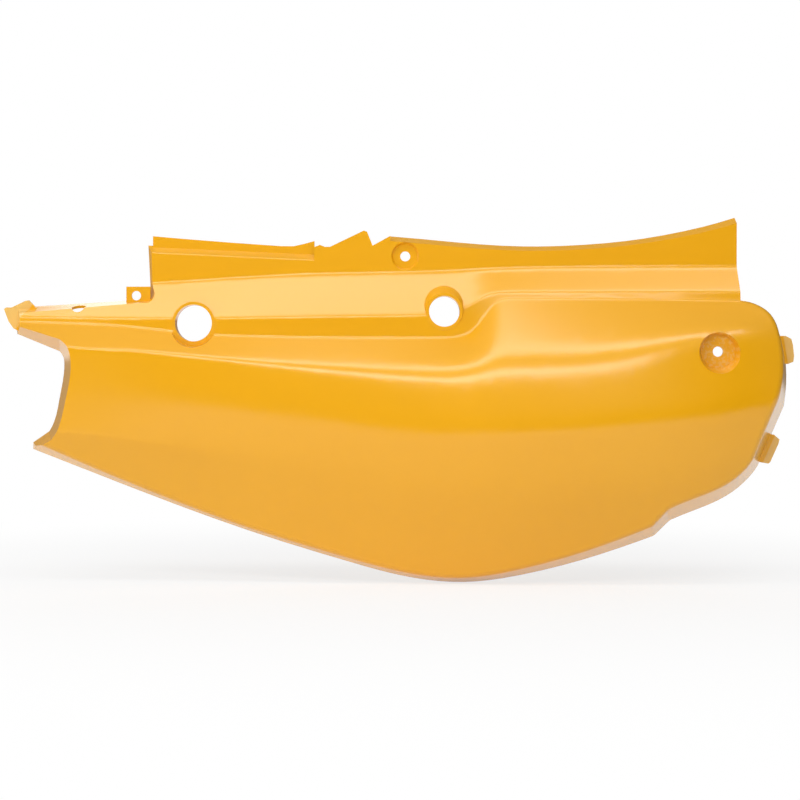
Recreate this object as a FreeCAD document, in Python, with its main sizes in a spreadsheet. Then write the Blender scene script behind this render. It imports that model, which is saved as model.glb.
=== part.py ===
import FreeCAD, Part

import math
import os

V = FreeCAD.Vector
Rotation = FreeCAD.Rotation
Placement = FreeCAD.Placement

# Left-hand side panel of a scooter: one moulded skin with a plain flange along the top, a sloping
# shoulder, a bulging pod, turned-in edges, two round holes, two screw seats, a lug and clips.
# The origin is the upper screw hole on the face of its seat. X points to the rear of the scooter,
# Y points inward and Z up. Depths are measured outward from the plane of the flange, against Y.

doc = FreeCAD.newDocument("SidePanel")

# Driving dimensions, in millimetres, with slopes as plain ratios
SIZES = {
    "wall": 2.6,
    "front_end": -372.0,
    "rear_end": 372.0,
    "back_depth": -8.0,
    "back_slope": 0.08,
    "rim_fillet": 7.0,
    "flange_fillet": 1.5,
    "notch_fillet": 9.0,
    "edge_draft": 0.35,
    "roll_draft": 0.55,
    "ledge_draft": 0.55,
    "ledge_rear_draft": 0.24,
    "flange_draft": 0.45,
    "rim_draft": 0.8,
    "corner_draft": 0.06,
    "screw_hole": 9.2,
    "upper_screw_x": 1.6,
    "upper_screw_z": 0.0,
    "upper_seat_width": 22.0,
    "upper_seat_flare": 3.6,
    "upper_seat_depth": 3.0,
    "rear_screw_x": 280.0,
    "rear_screw_z": -88.8,
    "rear_seat_width": 30.0,
    "rear_seat_depth": 42.0,
    "rear_seat_flare": 12.0,
    "seat_reach": 40.0,
    "hole_reach": 90.0,
    "front_hole_x": -189.6,
    "front_hole_z": -62.4,
    "front_hole": 33.2,
    "front_seat_width": 42.0,
    "front_seat_depth": 23.0,
    "middle_hole_x": 36.9,
    "middle_hole_z": -51.9,
    "middle_hole": 27.8,
    "middle_seat_width": 35.0,
    "middle_collar_width": 32.4,
    "middle_seat_depth": 24.0,
    "seat_flare": 6.0,
    "collar_flare": 8.0,
    "collar_rise": 16.0,
    "sleeve_length": 14.0,
    "lug_x": -244.2,
    "lug_z": -36.5,
    "lug_width": 22.0,
    "lug_height": 18.0,
    "lug_shift": 1.9,
    "lug_rise": 8.2,
    "lug_depth": 4.0,
    "lug_hole": 8.6,
    "ledge_hole_x": -296.0,
    "ledge_hole_z": -48.0,
    "ledge_hole": 12.8,
    "ledge_hole_depth": 8.5,
    "ledge_slope": 0.32,
    "lip_depth": -9.5,
    "clip_thick": 7.0,
}
sheet = doc.addObject("Spreadsheet::Sheet", "Sizes")
for row, (name, size) in enumerate(SIZES.items(), start=1):
    sheet.set(f"A{row}", name)
    sheet.set(f"B{row}", str(size))
    sheet.setAlias(f"B{row}", name)
doc.recompute()


def size(name):
    return float(sheet.get(name))


# Character lines of the skin from the top edge down: (x, height, depth) along the panel
LINES = {
    "top": [(-372, 60, 0), (372, 60, 0)],
    "crease": [(-352, -30, -4), (-230, -25, 0), (-85, -16.5, 0), (0, -15, 0), (136, -10.5, 0), (352, -9, 0)],
    "shoulder": [(-352, -56, 14), (-246, -58, 20), (-187, -58.2, 23), (-66, -56.5, 24), (24, -55.6, 24),
                 (42, -53, 23), (60, -46, 21), (76, -36.5, 18), (90, -34, 17), (352, -33.6, 17)],
    "valley": [(-352, -61, 14.5), (-246, -65.3, 20.5), (-187, -72.6, 23.5), (-66, -75.4, 25), (44, -75.8, 25),
               (58, -72.5, 24), (70.5, -60.6, 22), (82, -44.7, 19), (92, -40, 18), (352, -43, 18)],
    "crest": [(-352, -70, 26), (-296, -85.7, 40), (-243, -87.5, 41), (-185, -92.9, 42), (-65, -103.6, 48),
              (23, -108, 54), (85, -100, 60), (172, -94, 62), (220, -84, 59), (260, -75, 54), (300, -72, 48),
              (330, -74, 41), (360, -80, 32)],
    "wall": [(-352, -118, 37), (-243, -128, 43), (-185, -134, 46), (-65, -150, 54), (23, -160, 62),
             (85, -160, 70), (172, -155, 73), (260, -145, 69), (325, -132, 57), (360, -128, 46)],
    "low": [(-352, -160, 36), (-296, -161, 40), (-243, -167.4, 42), (-185, -174.4, 43), (-65, -193.7, 50),
            (23, -211, 57), (84, -212.5, 63), (172, -209, 66), (260, -200, 62), (324, -172, 53), (360, -165, 42)],
    "foot": [(-352, -215, 12), (-296, -220, 13), (-185, -260, 13), (-65, -300, 19), (23, -320, 22),
             (85, -320, 25), (172, -300, 31), (260, -265, 40), (324, -230, 38), (360, -215, 28)],
}

# Half width of each line's rounding: (x, reach) along the panel
ROUNDINGS = {
    "crease": [(-360, 4), (360, 4)],
    "shoulder": [(-360, 2.5), (360, 2.5)],
    "valley": [(-360, 2), (44, 2), (70, 3), (90, 2), (360, 2)],
    "crest": [(-360, 2.5), (-185, 4), (-65, 11), (23, 19), (85, 27), (172, 27), (260, 17), (360, 15)],
    "wall": [(-360, 15), (360, 15)],
    "low": [(-360, 2.5), (-243, 4), (-185, 8), (-65, 18), (23, 24), (360, 22)],
}

# Places along the panel where the skin's spans meet, close together where the valley sweeps up
SPANS = [-335, -305, -275, -245, -215, -180, -140, -100, -60, -20, 15, 35, 47, 55, 62, 69, 76, 83, 90, 98, 110,
         130, 165, 205, 245, 280, 305, 325, 348]

# Edges of the panel in side view, each a run of points with its draft at both ends. A draft of None
# is a side of the waste outside the panel.
EDGES = {
    "front_top": [
        ("ledge_draft", "ledge_rear_draft", [(-470, -54.4), (-237, -39.5)]),
        ("ledge_rear_draft", "flange_draft", [(-237, -39.5), (-235.1, -39), (-233.5, -37.8), (-232.6, -36.1),
                                              (-232.3, -34.2)]),
        ("flange_draft", "flange_draft", [(-232.3, -34.2), (-247, 200)]),
        (None, None, [(-247, 200), (-470, 200)]),
        (None, None, [(-470, 200), (-470, -54.4)]),
    ],
    "top": [
        ("rim_draft", "rim_draft", [(-440, 20.6), (-82, 3)]),
        (None, None, [(-82, 3), (-82, 34)]),
        (None, None, [(-82, 34), (-12, 34)]),
        (None, None, [(-12, 34), (-12, 19)]),
        ("roll_draft", "roll_draft", [(-12, 19), (30.5, 15.2), (74.7, 11.3), (118.9, 9.6), (163.2, 11), (207.5, 15),
                                      (251.8, 22.4), (296.3, 33.4), (330, 45.5)]),
        (None, None, [(330, 45.5), (330, 300)]),
        (None, None, [(330, 300), (-440, 300)]),
        (None, None, [(-440, 300), (-440, 20.6)]),
    ],
    "rear": [
        (None, None, [(306.1, 200), (305.2, -40.2)]),
        ("corner_draft", "edge_draft", [(305.2, -40.2), (321.1, -43.4), (334.6, -51.5), (345, -70.9),
                                        (350.6, -104.9), (347.8, -137.3)]),
        ("edge_draft", "edge_draft", [(347.8, -137.3), (323.1, -191.6)]),
        ("edge_draft", "edge_draft", [(323.1, -191.6), (312.1, -205.2), (294.5, -218.9), (264.2, -232.4),
                                      (242.2, -241.2)]),
        ("edge_draft", "edge_draft", [(242.2, -241.2), (150, -329)]),
        (None, None, [(150, -329), (470, -329)]),
        (None, None, [(470, -329), (470, 200)]),
        (None, None, [(470, 200), (306.1, 200)]),
    ],
    "bottom": [
        ("edge_draft", "edge_draft", [(420, -184), (240, -250.6)]),
        ("edge_draft", "edge_draft", [(240, -250.6), (206.2, -262.8), (165.2, -276.1), (110.6, -289.7), (56.2, -296.9),
                                      (1.8, -291.8), (-52.7, -277.7), (-134.5, -252.6), (-230.4, -218.2),
                                      (-332, -178.9)]),
        ("edge_draft", "edge_draft", [(-332, -178.9), (-470, -124.7)]),
        (None, None, [(-470, -124.7), (-470, -420)]),
        (None, None, [(-470, -420), (420, -420)]),
        (None, None, [(420, -420), (420, -184)]),
    ],
    "front": [
        ("edge_draft", "edge_draft", [(-338, -300), (-338, -170.5)]),
        ("edge_draft", "edge_draft", [(-338, -170.5), (-323.5, -160.4)]),
        ("edge_draft", "edge_draft", [(-323.5, -160.4), (-319.2, -151.5), (-314.4, -128.7), (-310.3, -104),
                                      (-310.3, -96.6), (-315.3, -87.2)]),
        ("edge_draft", "edge_draft", [(-315.3, -87.2), (-354.5, -71.2)]),
        ("edge_draft", "edge_draft", [(-354.5, -71.2), (-354.5, 60)]),
        (None, None, [(-354.5, 60), (-470, 60)]),
        (None, None, [(-470, 60), (-470, -300)]),
        (None, None, [(-470, -300), (-338, -300)]),
    ],
}
FAR_DEPTH = -15.0
SKIN_CLEARANCE = 12.0


def unit(vector):
    length = math.hypot(*vector)
    return (vector[0] / length, vector[1] / length)


def follow(points, x, column):
    """Value of one column at x: straight beyond the ends, and between them a curve that never overshoots."""
    xs = [point[0] for point in points]
    ys = [point[column] for point in points]
    rates = [(y1 - y0) / (x1 - x0) for x0, x1, y0, y1 in zip(xs, xs[1:], ys, ys[1:])]
    if x <= xs[0]:
        return ys[0] + rates[0] * (x - xs[0])
    if x >= xs[-1]:
        return ys[-1] + rates[-1] * (x - xs[-1])

    def rate(i):
        if i == 0:
            return rates[0]
        if i == len(xs) - 1:
            return rates[-1]
        before, after = rates[i - 1], rates[i]
        if before * after <= 0:
            return 0.0
        return 2 * before * after / (before + after)

    i = max(j for j in range(len(xs) - 1) if xs[j] <= x)
    step = xs[i + 1] - xs[i]
    share = (x - xs[i]) / step
    rise = share * share * (3 - 2 * share)
    lead = share * (1 - share) ** 2 * step
    trail = share * share * (1 - share) * step
    return ys[i] * (1 - rise) + ys[i + 1] * rise + lead * rate(i) - trail * rate(i + 1)


def across(first, second, reach_first, reach_second):
    """Meeting point of two lines moved inward: each line is a normal with its distance."""
    turn = first[0] * second[1] - first[1] * second[0]
    if abs(turn) < 0.03:
        middle = unit((first[0] + second[0], first[1] + second[1]))
        reach = (reach_first + reach_second) / 2
        return (middle[0] * reach, middle[1] * reach)
    return ((reach_first * second[1] - reach_second * first[1]) / turn,
            (first[0] * reach_second - second[0] * reach_first) / turn)


def section(x, inset):
    """Poles of the skin's cross-section at x as (depth, height), moved inward by inset."""
    corners = [(follow(line, x, 2), follow(line, x, 1)) for line in LINES.values()]
    runs = [unit((b[0] - a[0], b[1] - a[1])) for a, b in zip(corners, corners[1:])]
    normals = [(run[1], -run[0]) for run in runs]
    before = [normals[0]] + normals
    after = normals + [normals[-1]]
    moves = [across(a, b, inset, inset) for a, b in zip(before, after)]
    corners = [(depth + move[0], height + move[1]) for (depth, height), move in zip(corners, moves)]
    poles = []
    for i, name in enumerate(LINES):
        corner = corners[i]
        if name not in ROUNDINGS:
            poles.append(corner)
            continue
        reach = follow(ROUNDINGS[name], x, 1)
        for other in (corners[i - 1], None, corners[i + 1]):
            if other is None:
                poles.append(corner)
                continue
            way = unit((other[0] - corner[0], other[1] - corner[1]))
            poles.append((corner[0] + way[0] * reach, corner[1] + way[1] * reach))
    return poles


def skin(inset):
    """The free-form face of the panel, moved inward by inset."""
    degree = 3
    spans = [size("front_end")] + SPANS + [size("rear_end")]
    knots = [spans[0]] * degree + spans + [spans[-1]] * degree
    places = [sum(knots[i + 1:i + degree + 1]) / degree for i in range(len(knots) - degree - 1)]
    rows = [[V(x, -depth, height) for depth, height in section(x, inset)] for x in places]
    steps = list(range(len(rows[0]) - degree + 1))
    ends = degree + 1
    surface = Part.BSplineSurface()
    surface.buildFromPolesMultsKnots(
        rows, [ends] + [1] * (len(spans) - 2) + [ends], [ends] + [1] * (len(steps) - 2) + [ends],
        [float(span) for span in spans], [float(step) for step in steps], False, False, degree, degree)
    return surface.toShape()


def back_at(height):
    """Depth of the panel's open back at a height."""
    return size("back_depth") - size("back_slope") * height


def run_curve(points):
    if len(points) == 2:
        return Part.LineSegment(*[V(x, 0, height) for x, height in points])
    curve = Part.BSplineCurve()
    curve.interpolate([V(x, 0, height) for x, height in points])
    return curve


def run_normals(points):
    """Inward normals of a run at each of its points."""
    curve = run_curve(points)
    if len(points) == 2:
        ways = [curve.EndPoint - curve.StartPoint] * 2
    else:
        ways = [curve.tangent(curve.parameter(V(x, 0, height)))[0] for x, height in points]
    return [unit((way.z, -way.x)) for way in ways]


def run_reach(run, step, depth, inset):
    """How far a run's point lies inward of its place at the back, at a depth."""
    first, last, points = run
    if first is None:
        return 0.0
    share = step / (len(points) - 1)
    draft = size(first) * (1 - share) + size(last) * share
    return (depth - back_at(points[step][1])) * draft + inset


def outline(runs, depth, inset):
    """Edges of one cutter's outline at a depth, drawn in by the drafts and the inset."""
    normals = [run_normals(points) for _, _, points in runs]
    edges = []
    for i, run in enumerate(runs):
        points = run[2]
        last = len(points) - 1
        after = (i + 1) % len(runs)
        moved = []
        for step, (x, height) in enumerate(points):
            own = (normals[i][step], run_reach(run, step, depth, inset))
            other = own
            if step == 0:
                other = (normals[i - 1][-1], run_reach(runs[i - 1], len(runs[i - 1][2]) - 1, depth, inset))
            if step == last:
                other = (normals[after][0], run_reach(runs[after], 0, depth, inset))
            move = across(own[0], other[0], own[1], other[1])
            moved.append((x + move[0], height + move[1]))
        curve = run_curve(moved)
        curve.translate(V(0, -depth, 0))
        edges.append(curve.toShape())
    return edges


def cutter(name, inset):
    """Solid of waste beyond one side of the panel, with drafted walls."""
    far = outline(EDGES[name], FAR_DEPTH - 2 * inset, inset)
    deepest = max(point[2] for line in LINES.values() for point in line)
    near = outline(EDGES[name], deepest + SKIN_CLEARANCE, inset)
    walls = [Part.makeRuledSurface(a, b) for a, b in zip(far, near)]
    caps = [Part.Face(Part.Wire(edges)) for edges in (far, near)]
    solid = Part.Solid(Part.makeShell(walls + caps))
    if solid.Volume < 0:
        solid.reverse()
    return solid


def back_cutter(gap):
    """Everything behind the open back, which leans out towards the foot."""
    reach = size("rear_end") - size("front_end") + 200
    block = Part.makeBox(reach, reach, reach, V(-reach / 2, 0, -reach / 2))
    lean = math.degrees(math.atan(size("back_slope")))
    block.Placement = Placement(V(0, gap - size("back_depth"), 0), Rotation(V(1, 0, 0), -lean))
    return block


def form(inset):
    """The solid under the skin, moved inward by inset, within the panel's edges."""
    solid = skin(inset).extrude(V(0, 200, 0))
    for name in EDGES:
        solid = solid.cut(cutter(name, inset))
    return solid.cut(back_cutter(inset * 2)).Solids[0]


def rim_edges(solid, low_x, high_x, low_z, high_z):
    """Edges around the skin's face whose middle lies within a window of the side view."""
    face = max((face for face in solid.Faces if face.Surface.TypeId == "Part::GeomBSplineSurface"),
               key=lambda face: face.Area)
    found = []
    for edge in face.Edges:
        middle = edge.valueAt((edge.FirstParameter + edge.LastParameter) / 2)
        if low_x < middle.x < high_x and low_z < middle.z < high_z:
            found.append(edge)
    return found


# Places in side view of the upright corners of the rear notch, with 1 where the panel is outside the bend
CORNERS = [(226, -256, -1), (242, -241, 1)]

# Windows of the side view that pick the rounded edges, each with its rounding
ROUNDED = {
    "rim_fillet": (-280, 400, -340, -46),
    "flange_fillet": (-225, -100, -40, 20),
}


def corner_edge(solid, x, height):
    """The edge that rises from the back nearest to a place in side view."""
    found = []
    for edge in solid.Edges:
        ends = [vertex.Point for vertex in edge.Vertexes]
        if len(ends) == 2 and abs(ends[0].y - ends[1].y) > 15:
            back = max(ends, key=lambda point: point.y)
            found.append((math.hypot(back.x - x, back.z - height), edge))
    return min(found, key=lambda pair: pair[0])[1]


def rounded(solid, inset):
    """The form with its outer edges rounded, less the wall where it is the hollow."""
    for x, height, side in CORNERS:
        solid = solid.makeFillet(size("notch_fillet") + side * inset, [corner_edge(solid, x, height)])
    for name, window in ROUNDED.items():
        radius = size(name) - inset
        if radius > 0.3:
            solid = solid.makeFillet(radius, rim_edges(solid, *window))
    return solid


def free_form(name, inset):
    feature = doc.addObject("Part::Feature", name)
    feature.Shape = rounded(form(inset), inset)
    return feature


def bind(feature, **expressions):
    for path, expression in expressions.items():
        feature.setExpression(path.replace("__", "."), expression)
    return feature


def pin(name, x, z, start, length, wide, narrow=None):
    """A round pin or cone that points outward, from a depth, with its widths at both ends."""
    kind = "Part::Cylinder" if narrow is None else "Part::Cone"
    feature = doc.addObject(kind, name)
    feature.Placement = Placement(V(0, 0, 0), Rotation(V(1, 0, 0), 90))
    bind(feature, Placement__Base__x=x, Placement__Base__y=f"-({start})", Placement__Base__z=z, Height=length)
    if narrow is None:
        return bind(feature, Radius=f"({wide}) / 2")
    return bind(feature, Radius1=f"({wide}) / 2", Radius2=f"({narrow}) / 2")


def join(name, pieces):
    feature = doc.addObject("Part::MultiFuse", name)
    feature.Shapes = pieces
    return feature


def cut(name, base, tool):
    feature = doc.addObject("Part::Cut", name)
    feature.Base = base
    feature.Tool = tool
    return feature


def plate(name, points, start, thick):
    """A flat plate in side view, from a depth outward."""
    feature = doc.addObject("Part::Feature", name)
    corners = [V(x, -start, height) for x, height in points]
    feature.Shape = Part.Face(Part.makePolygon(corners + corners[:1])).extrude(V(0, -thick, 0))
    return feature


def seats(side, inset):
    """What the screw seats and hole seats take away from the skin, or from the hollow behind it."""
    grow = f" + 2 * {inset}"
    sink = f" - {inset}"
    flare = " + 2 * Sizes.seat_flare"
    return join(side + "Seats", [
        pin(side + "UpperSeat", "Sizes.upper_screw_x", "Sizes.upper_screw_z",
            "-Sizes.upper_seat_depth" + sink, "2 * Sizes.upper_seat_depth + " + inset,
            "Sizes.upper_seat_width" + grow, "Sizes.upper_seat_width + 2 * Sizes.upper_seat_flare" + grow),
        pin(side + "RearSeat", "Sizes.rear_screw_x", "Sizes.rear_screw_z",
            "Sizes.rear_seat_depth" + sink, "Sizes.seat_reach",
            "Sizes.rear_seat_width" + grow, "Sizes.rear_seat_width + 2 * Sizes.rear_seat_flare" + grow),
        pin(side + "FrontSeat", "Sizes.front_hole_x", "Sizes.front_hole_z",
            "Sizes.front_seat_depth" + sink, "Sizes.seat_reach",
            "Sizes.front_seat_width" + grow, "Sizes.front_seat_width" + flare + grow),
        pin(side + "MiddleSeat", "Sizes.middle_hole_x", "Sizes.middle_hole_z",
            "Sizes.middle_seat_depth" + sink, "Sizes.seat_reach",
            "Sizes.middle_seat_width" + grow, "Sizes.middle_seat_width" + flare + grow),
    ])


def halo(side, inset):
    """The flared collar around the middle hole, or the hollow behind it."""
    return pin(side + "Halo", "Sizes.middle_hole_x", "Sizes.middle_hole_z",
               "Sizes.middle_seat_depth - Sizes.collar_rise - " + inset, "Sizes.collar_rise",
               "Sizes.middle_collar_width + 2 * Sizes.collar_flare - 2 * " + inset,
               "Sizes.middle_collar_width - 2 * " + inset)


def sleeve(name, hole):
    return pin(name, f"Sizes.{hole}_hole_x", f"Sizes.{hole}_hole_z",
               f"Sizes.{hole}_seat_depth - Sizes.sleeve_length", "Sizes.sleeve_length",
               f"Sizes.{hole}_hole + 2 * Sizes.wall")


outer = cut("Outside", join("OutsideForm", [free_form("OutsideSkin", 0), halo("Outside", "0")]),
            seats("Outside", "0"))
inner = cut("Hollow", join("HollowForm", [free_form("HollowSkin", size("wall")), halo("Hollow", "Sizes.wall")]),
            seats("Hollow", "Sizes.wall"))
shell = cut("Shell", outer, inner)

SAW_TEETH = [(-82, 8.6), (-80.4, 8.8), (-76.6, 10.3), (-72, 8.5), (-67.4, 8.5), (-36.4, 23.4), (-33.4, 22.3),
             (-28.3, 9.6), (-12, 18.6), (-12, 60), (-82, 60)]
LIP = [(-230.6, 4), (-230.6, 18.9), (-201.9, 16.4), (-157.6, 12.9), (-113, 9.8), (-101, 9.7), (-91.2, 11.9),
       (-80.8, 14.8), (-80.8, 0), (-110, 0)]
TONGUE = [(-365.5, -48.7), (-363.5, -47.2), (-358.5, -47.2), (-349.5, -42.9), (-346, -41.2), (-342.6, -40.7),
          (-337.5, -46), (-333, -50), (-346, -64), (-352, -69), (-357, -66.2), (-361.3, -60)]
UPPER_CLIP = [(343, -73.4), (348.5, -73.4), (353.8, -76.2), (355.3, -82), (356.3, -92), (355.6, -97), (350.8, -99),
              (343, -99)]
LOWER_CLIP = [(331, -162.5), (336.6, -163.4), (341.6, -167.8), (340.5, -172), (333.2, -188.3), (331.5, -189.7),
              (324.5, -188.5), (319, -186)]

lug = doc.addObject("Part::Box", "Lug")
bind(lug, Length="Sizes.lug_width", Width="Sizes.wall", Height="Sizes.lug_height",
     Placement__Base__x="Sizes.lug_x - Sizes.lug_width / 2 + Sizes.lug_shift", Placement__Base__y="-Sizes.lug_depth",
     Placement__Base__z="Sizes.lug_z + Sizes.lug_rise - Sizes.lug_height")
blank = join("Blank", [
    shell,
    sleeve("FrontSleeve", "front"),
    sleeve("MiddleSleeve", "middle"),
    lug,
    plate("Lip", LIP, size("lip_depth"), size("wall")),
    plate("Tongue", TONGUE, 0, size("wall")),
    plate("UpperClip", UPPER_CLIP, 0, size("clip_thick")),
    plate("LowerClip", LOWER_CLIP, 6, size("clip_thick")),
])


def hole(name, x, z, width):
    return pin(name, x, z, "-Sizes.hole_reach", "2 * Sizes.hole_reach", width)


ledge_hole = doc.addObject("Part::Cylinder", "LedgeHole")
ledge_hole.Placement = Placement(V(0, 0, 0), Rotation(V(1, 0, 0), 1))
bind(ledge_hole, Radius="Sizes.ledge_hole / 2", Height="Sizes.ledge_hole",
     Placement__Rotation__Angle="atan(Sizes.ledge_slope)", Placement__Base__x="Sizes.ledge_hole_x",
     Placement__Base__y="Sizes.ledge_hole / 2 * sin(atan(Sizes.ledge_slope)) - Sizes.ledge_hole_depth",
     Placement__Base__z="Sizes.ledge_hole_z - Sizes.ledge_hole / 2 * cos(atan(Sizes.ledge_slope))")
waste = join("Waste", [
    plate("SawTeeth", SAW_TEETH, -30, 60),
    hole("UpperScrewHole", "Sizes.upper_screw_x", "Sizes.upper_screw_z", "Sizes.screw_hole"),
    hole("RearScrewHole", "Sizes.rear_screw_x", "Sizes.rear_screw_z", "Sizes.screw_hole"),
    hole("FrontHole", "Sizes.front_hole_x", "Sizes.front_hole_z", "Sizes.front_hole"),
    hole("MiddleHole", "Sizes.middle_hole_x", "Sizes.middle_hole_z", "Sizes.middle_hole"),
    hole("LugHole", "Sizes.lug_x", "Sizes.lug_z", "Sizes.lug_hole"),
    ledge_hole,
])
panel = cut("side_panel", blank, waste)
panel.Label = "side_panel"
bind(panel, Placement__Base__x="-Sizes.upper_screw_x", Placement__Base__y="-Sizes.upper_seat_depth",
     Placement__Base__z="-Sizes.upper_screw_z")
doc.recompute()

for feature in doc.Objects:
    if "Invalid" in feature.State or "Error" in feature.State:
        raise RuntimeError(f"{feature.Label} failed: {feature.State}")
if panel.Shape.isNull() or not panel.Shape.isValid() or len(panel.Shape.Solids) != 1:
    raise RuntimeError(f"side_panel is not one valid solid: {len(panel.Shape.Solids)}")
print("side_panel", panel.Shape.BoundBox, round(panel.Shape.Volume))
os.makedirs("parts", exist_ok=True)
panel.Shape.exportStep("parts/side_panel.step")
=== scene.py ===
import math

import bmesh
import bpy
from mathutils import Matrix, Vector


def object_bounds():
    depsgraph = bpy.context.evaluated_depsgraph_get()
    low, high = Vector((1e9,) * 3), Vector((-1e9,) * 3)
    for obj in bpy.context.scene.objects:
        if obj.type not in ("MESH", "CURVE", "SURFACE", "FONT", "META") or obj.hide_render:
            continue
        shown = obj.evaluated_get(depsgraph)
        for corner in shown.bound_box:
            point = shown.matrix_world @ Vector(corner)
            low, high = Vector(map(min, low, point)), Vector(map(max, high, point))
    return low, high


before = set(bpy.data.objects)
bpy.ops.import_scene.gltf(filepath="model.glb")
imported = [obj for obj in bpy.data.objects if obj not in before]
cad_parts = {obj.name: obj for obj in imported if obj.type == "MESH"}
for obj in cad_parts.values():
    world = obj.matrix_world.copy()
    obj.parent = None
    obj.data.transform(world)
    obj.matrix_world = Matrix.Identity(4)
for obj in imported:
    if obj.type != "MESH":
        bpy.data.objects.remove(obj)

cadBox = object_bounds()
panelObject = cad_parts["side_panel"]
print("stage: frame loaded")


# small helpers for node materials

def newMaterial(name):
    material = bpy.data.materials.new(name)
    material.use_nodes = True
    tree = material.node_tree
    tree.nodes.clear()
    return material, tree


def addNode(tree, kind, **settings):
    node = tree.nodes.new(kind)
    for key, value in settings.items():
        if key in node.inputs:
            node.inputs[key].default_value = value
        else:
            setattr(node, key, value)
    return node


def join(tree, source, output, target, socket):
    tree.links.new(source.outputs[output], target.inputs[socket])


def makeRamp(tree, source, output, ends, start=0.0, stop=1.0):
    node = addNode(tree, "ShaderNodeMapRange", interpolation_type="SMOOTHSTEP")
    node.inputs["From Min"].default_value = ends[0]
    node.inputs["From Max"].default_value = ends[1]
    node.inputs["To Min"].default_value = start
    node.inputs["To Max"].default_value = stop
    join(tree, source, output, node, "Value")
    return node


def combine(tree, operation, first, second):
    node = addNode(tree, "ShaderNodeMath", operation=operation)
    join(tree, first, 0, node, 0)
    join(tree, second, 0, node, 1)
    return node


def scaleBy(tree, source, output, factor):
    node = addNode(tree, "ShaderNodeMath", operation="MULTIPLY")
    node.inputs[1].default_value = factor
    join(tree, source, output, node, 0)
    return node


def vectorStep(tree, operation, source, output, second=None):
    node = addNode(tree, "ShaderNodeVectorMath", operation=operation)
    if second is not None:
        node.inputs[1].default_value = second
    join(tree, source, output, node, 0)
    return node


def makeNoise(tree, place, scale, detail):
    node = addNode(tree, "ShaderNodeTexNoise", Scale=scale, Detail=detail)
    join(tree, place, "Object", node, "Vector")
    return node


def rayMask(tree, kinds):
    path = addNode(tree, "ShaderNodeLightPath")
    source, output = path, kinds[0]
    for kind in kinds[1:]:
        mask = addNode(tree, "ShaderNodeMath", operation="MAXIMUM")
        join(tree, source, output, mask, 0)
        join(tree, path, kind, mask, 1)
        source, output = mask, "Value"
    return source


def blendShaders(tree, share, first, second, out):
    blend = addNode(tree, "ShaderNodeMixShader")
    join(tree, share, "Value", blend, 0)
    join(tree, first, 0, blend, 1)
    join(tree, second, 0, blend, 2)
    join(tree, blend, "Shader", out, "Surface")


def colorSocket(sockets, name):
    return next(item for item in sockets if item.name == name and item.type == "RGBA")


def mixTone(tree, mask, first, second):
    node = addNode(tree, "ShaderNodeMix", data_type="RGBA")
    join(tree, mask, 0, node, "Factor")
    for name, tone in (("A", first), ("B", second)):
        target = colorSocket(node.inputs, name)
        if isinstance(tone, tuple):
            target.default_value = tone
        else:
            tree.links.new(colorSocket(tone.outputs, "Result"), target)
    return node


# golden pearl paint under clear lacquer, matte plastic on the back, the tongue and the clips;
# the tongue and clips are painted paler for the light they catch, and the cup floor carries
# painted reflection

paint = {
    "gold": (0.87, 0.415, 0.002, 1.0),
    "amber": (0.84, 0.392, 0.002, 1.0),
    "bare": (0.84, 0.44, 0.05, 1.0),
    # pale tone stands in for light: painted reflection on the cup floor, painted light on the
    # tongue and clips
    "paleLitTone": (0.86, 0.52, 0.13, 1.0),
    "metallic": 0.05,
    "roughness": 0.40,
    "bareRoughness": 0.55,
    "roughnessDrift": (-0.03, 0.03),
    "coat": 1.0,
    "coatRoughness": 0.22,
    "coatIor": 1.58,
    "underGloss": 0.05,
    "cloudScale": 9.0,
    "cloudDetail": 3.0,
    "peelScale": 260.0,      # fine waviness of the lacquer
    "peelHeight": 0.00006,
    "peelStrength": 0.5,
    "fineDetail": 2.0,
    "backTurn": (0.05, 0.15),
    # direction and place where each unpainted tab begins, measured along the direction
    "tongue": ((-0.826, 0.0, 0.563), 0.2560),
    "upperClip": ((0.987, 0.0, 0.1625), 0.3280),
    "lowerClip": ((0.91, 0.0, -0.41), 0.3724),
    "tabFade": 0.0012,
    # the cup's axis runs along Y
    "cupPlace": (0.2784, 0.0, -0.0888),
    "cupPlane": (1.0, 0.0, 1.0),
    "cupReach": (0.0165, 0.0195),
    "cupSpots": 330.0,
    # pale patches on the cup floor are painted reflection
    "cupReflectionEdge": (0.48, 0.62),
    "cupReflectionShare": 0.55,
    "cupDepth": 0.0009,
    "cupStrength": 0.6,
}


def tabMask(tree, place, name):
    way, start = paint[name]
    along = vectorStep(tree, "DOT_PRODUCT", place, "Object", way)
    return makeRamp(tree, along, "Value", (start, start + paint["tabFade"]))


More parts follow.
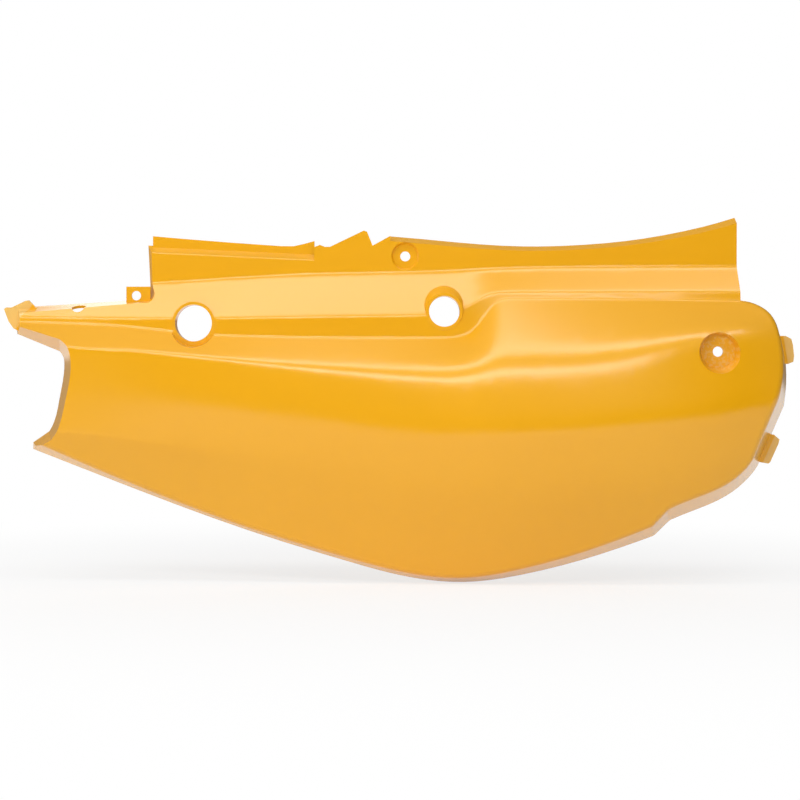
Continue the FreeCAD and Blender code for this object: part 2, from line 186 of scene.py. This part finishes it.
def makePaint():
    material, tree = newMaterial("goldenPaint")
    out = addNode(tree, "ShaderNodeOutputMaterial")
    shader = addNode(tree, "ShaderNodeBsdfPrincipled")
    shader.inputs["Metallic"].default_value = paint["metallic"]
    shader.inputs["Specular IOR Level"].default_value = paint["underGloss"]
    shader.inputs["Coat Weight"].default_value = paint["coat"]
    shader.inputs["Coat Roughness"].default_value = paint["coatRoughness"]
    shader.inputs["Coat IOR"].default_value = paint["coatIor"]
    join(tree, shader, "BSDF", out, "Surface")

    place = addNode(tree, "ShaderNodeTexCoord")
    cloud = makeNoise(tree, place, paint["cloudScale"], paint["cloudDetail"])
    peel = makeNoise(tree, place, paint["peelScale"], paint["fineDetail"])

    facing = addNode(tree, "ShaderNodeNewGeometry")
    split = addNode(tree, "ShaderNodeSeparateXYZ")
    join(tree, facing, "Normal", split, "Vector")
    back = makeRamp(tree, split, "Y", paint["backTurn"])

    upperClip = tabMask(tree, place, "upperClip")
    lowerClip = tabMask(tree, place, "lowerClip")
    clips = combine(tree, "MAXIMUM", upperClip, lowerClip)
    tabs = combine(tree, "MAXIMUM", tabMask(tree, place, "tongue"), clips)

    # the floor of the rear cup: pale mottled patches are painted reflection, and the same
    # noise gives it real bumps
    fromCup = vectorStep(tree, "SUBTRACT", place, "Object", paint["cupPlace"])
    across = vectorStep(tree, "MULTIPLY", fromCup, "Vector", paint["cupPlane"])
    fromAxis = vectorStep(tree, "LENGTH", across, "Vector")
    cup = makeRamp(tree, fromAxis, "Value", paint["cupReach"], 1.0, 0.0)
    spots = makeNoise(tree, place, paint["cupSpots"], paint["fineDetail"])
    reflectionPatches = makeRamp(tree, spots, "Fac", paint["cupReflectionEdge"])
    paintedCupReflection = combine(tree, "MULTIPLY", cup, reflectionPatches)
    paintedReflectionShare = scaleBy(tree, paintedCupReflection, "Value", paint["cupReflectionShare"])

    tone = mixTone(tree, cloud, paint["gold"], paint["amber"])
    # pale patches of painted reflection on the cup floor
    tone = mixTone(tree, paintedReflectionShare, tone, paint["paleLitTone"])
    tone = mixTone(tree, back, tone, paint["bare"])
    # the tongue and clips: matte bare plastic, painted paler for the light they catch
    tone = mixTone(tree, tabs, tone, paint["paleLitTone"])
    tree.links.new(colorSocket(tone.outputs, "Result"), shader.inputs["Base Color"])

    bare = combine(tree, "MAXIMUM", back, tabs)
    rough = makeRamp(tree, bare, 0, (0.0, 1.0), paint["roughness"], paint["bareRoughness"])
    drift = makeRamp(tree, cloud, "Fac", (0.0, 1.0), *paint["roughnessDrift"])
    join(tree, combine(tree, "ADD", rough, drift), 0, shader, "Roughness")

    waves = addNode(tree, "ShaderNodeBump",
                    Strength=paint["peelStrength"], Distance=paint["peelHeight"])
    join(tree, peel, "Fac", waves, "Height")
    lumps = addNode(tree, "ShaderNodeBump",
                    Strength=paint["cupStrength"], Distance=paint["cupDepth"])
    join(tree, combine(tree, "MULTIPLY", cup, spots), 0, lumps, "Height")
    join(tree, waves, "Normal", lumps, "Normal")
    join(tree, lumps, "Normal", shader, "Normal")
    return material


panelPaint = makePaint()
for slot in panelObject.material_slots:
    slot.material = panelPaint
print("stage: paint done")


# a wide pale floor that keeps the shadow and fades to white

studio = {
    "floorGap": 0.0005,
    "floorColor": (0.9, 0.9, 0.9, 1.0),
    "reach": 14.0,
    "shadowKept": 0.30,   # share of the lit floor that the camera sees by the object
    "fade": (0.2, 0.9),
    "seenWhiteBy": ("Is Camera Ray", "Is Transmission Ray", "Is Glossy Ray"),
}


def makeStage():
    floorHeight = cadBox[0][2] - studio["floorGap"]
    mesh = bpy.data.meshes.new("studioFloor")
    shape = bmesh.new()
    bmesh.ops.create_grid(shape, x_segments=1, y_segments=1, size=studio["reach"])
    bmesh.ops.translate(shape, verts=shape.verts, vec=(0, 0, floorHeight))
    shape.to_mesh(mesh)
    shape.free()
    floor = bpy.data.objects.new("studioFloor", mesh)
    bpy.context.scene.collection.objects.link(floor)
    material, tree = newMaterial("paleFloor")
    out = addNode(tree, "ShaderNodeOutputMaterial")
    matte = addNode(tree, "ShaderNodeBsdfDiffuse", Color=studio["floorColor"])
    glow = addNode(tree, "ShaderNodeEmission", Strength=1.0)
    place = addNode(tree, "ShaderNodeTexCoord")
    far = vectorStep(tree, "LENGTH", place, "Object")
    fade = makeRamp(tree, far, "Value", studio["fade"], 1 - studio["shadowKept"], 1.0)
    seen = rayMask(tree, studio["seenWhiteBy"])
    blendShaders(tree, combine(tree, "MULTIPLY", seen, fade), matte, glow, out)
    floor.data.materials.append(material)


makeStage()
print("stage: floor done")


# world and lamps

light = {
    "bright": 0.55,
    "dim": 0.01,         # level of the darker band in front of the panel
    "bandLow": (-0.60, -0.10),
    "bandHigh": (0.35, 0.75),
    "front": (0.0, 0.55),
    "right": (0.0, 0.8),
    "rightLevel": 0.3,
    "behind": (0.0, 0.5),
    "behindLevel": 0.42,
    "seenWhiteBy": ("Is Camera Ray", "Is Transmission Ray"),
    "white": (1.0, 1.0, 1.0, 1.0),
    # name, place, aim, size, power
    "lamps": (
        ("ceilingSoftbox", (0.0, -0.60, 1.3), (0.0, 0.0, -0.12), (2.0, 0.34), 9.0),
        ("sideSoftbox-1", (-1.7, -0.9, 0.3), (0.0, 0.0, -0.1), (1.2, 1.2), 8.0),
        ("sideSoftbox1", (1.7, -0.9, 0.3), (0.0, 0.0, -0.1), (1.2, 1.2), 0.5),
        ("backFill", (0.0, 1.8, 0.9), (0.0, 0.0, -0.1), (1.8, 0.8), 9.0),
        ("stripLamp", (-0.2, -1.3, 0.72), (0.0, 0.0, -0.1), (1.5, 0.26), 8.0),
        ("lowFill", (0.0, -1.5, -0.18), (0.0, 0.0, -0.2), (1.6, 0.25), 3.2),
    ),
    "withoutGlare": ("lowFill",),   # lights the lower face, but isn't mirrored in the lacquer
}


def makeWorld():
    world = bpy.data.worlds.new("studioWorld")
    bpy.context.scene.world = world
    world.use_nodes = True
    tree = world.node_tree
    tree.nodes.clear()
    out = addNode(tree, "ShaderNodeOutputWorld")
    way = addNode(tree, "ShaderNodeTexCoord")
    split = addNode(tree, "ShaderNodeSeparateXYZ")
    join(tree, way, "Generated", split, "Vector")
    flip = scaleBy(tree, split, "Y", -1.0)
    front = makeRamp(tree, flip, "Value", light["front"])
    low = makeRamp(tree, split, "Z", light["bandLow"])
    high = makeRamp(tree, split, "Z", light["bandHigh"], 1.0, 0.0)
    band = combine(tree, "MULTIPLY", combine(tree, "MULTIPLY", low, high), front)
    level = makeRamp(tree, band, "Value", (0.0, 1.0), light["bright"], light["dim"])
    right = makeRamp(tree, split, "X", light["right"], 1.0, light["rightLevel"])
    behind = makeRamp(tree, split, "Y", light["behind"], 1.0, light["behindLevel"])
    level = combine(tree, "MULTIPLY", combine(tree, "MULTIPLY", level, right), behind)
    soft = addNode(tree, "ShaderNodeBackground", Color=light["white"])
    join(tree, level, "Value", soft, "Strength")
    white = addNode(tree, "ShaderNodeBackground", Color=light["white"], Strength=1.0)
    blendShaders(tree, rayMask(tree, light["seenWhiteBy"]), soft, white, out)


def makeLamp(name, place, aim, size, power):
    data = bpy.data.lights.new(name, "AREA")
    data.shape = "RECTANGLE"
    data.size, data.size_y = size
    data.energy = power
    lamp = bpy.data.objects.new(name, data)
    bpy.context.scene.collection.objects.link(lamp)
    lamp.location = place
    way = [a - b for a, b in zip(aim, place)]
    tilt = math.pi / 2 + math.atan2(way[2], math.hypot(way[0], way[1]))
    lamp.rotation_euler = (tilt, 0, math.atan2(-way[0], way[1]))
    lamp.visible_glossy = name not in light["withoutGlare"]


makeWorld()
for lampRow in light["lamps"]:
    makeLamp(*lampRow)
print("stage: lights done")


# camera at the photograph's viewing angle

view = {
    "place": (-0.0048, -1.503, -0.1319),
    "lens": 73.66,
    "sensor": 36.0,
}
cameraData = bpy.data.cameras.new("photoCamera")
cameraData.lens = view["lens"]
cameraData.sensor_width = view["sensor"]
camera = bpy.data.objects.new("photoCamera", cameraData)
camera.location = view["place"]
camera.rotation_euler = (math.pi / 2, 0, 0)
bpy.context.scene.collection.objects.link(camera)
bpy.context.scene.camera = camera
bpy.context.scene.view_settings.view_transform = "Standard"

print("stage: camera done")
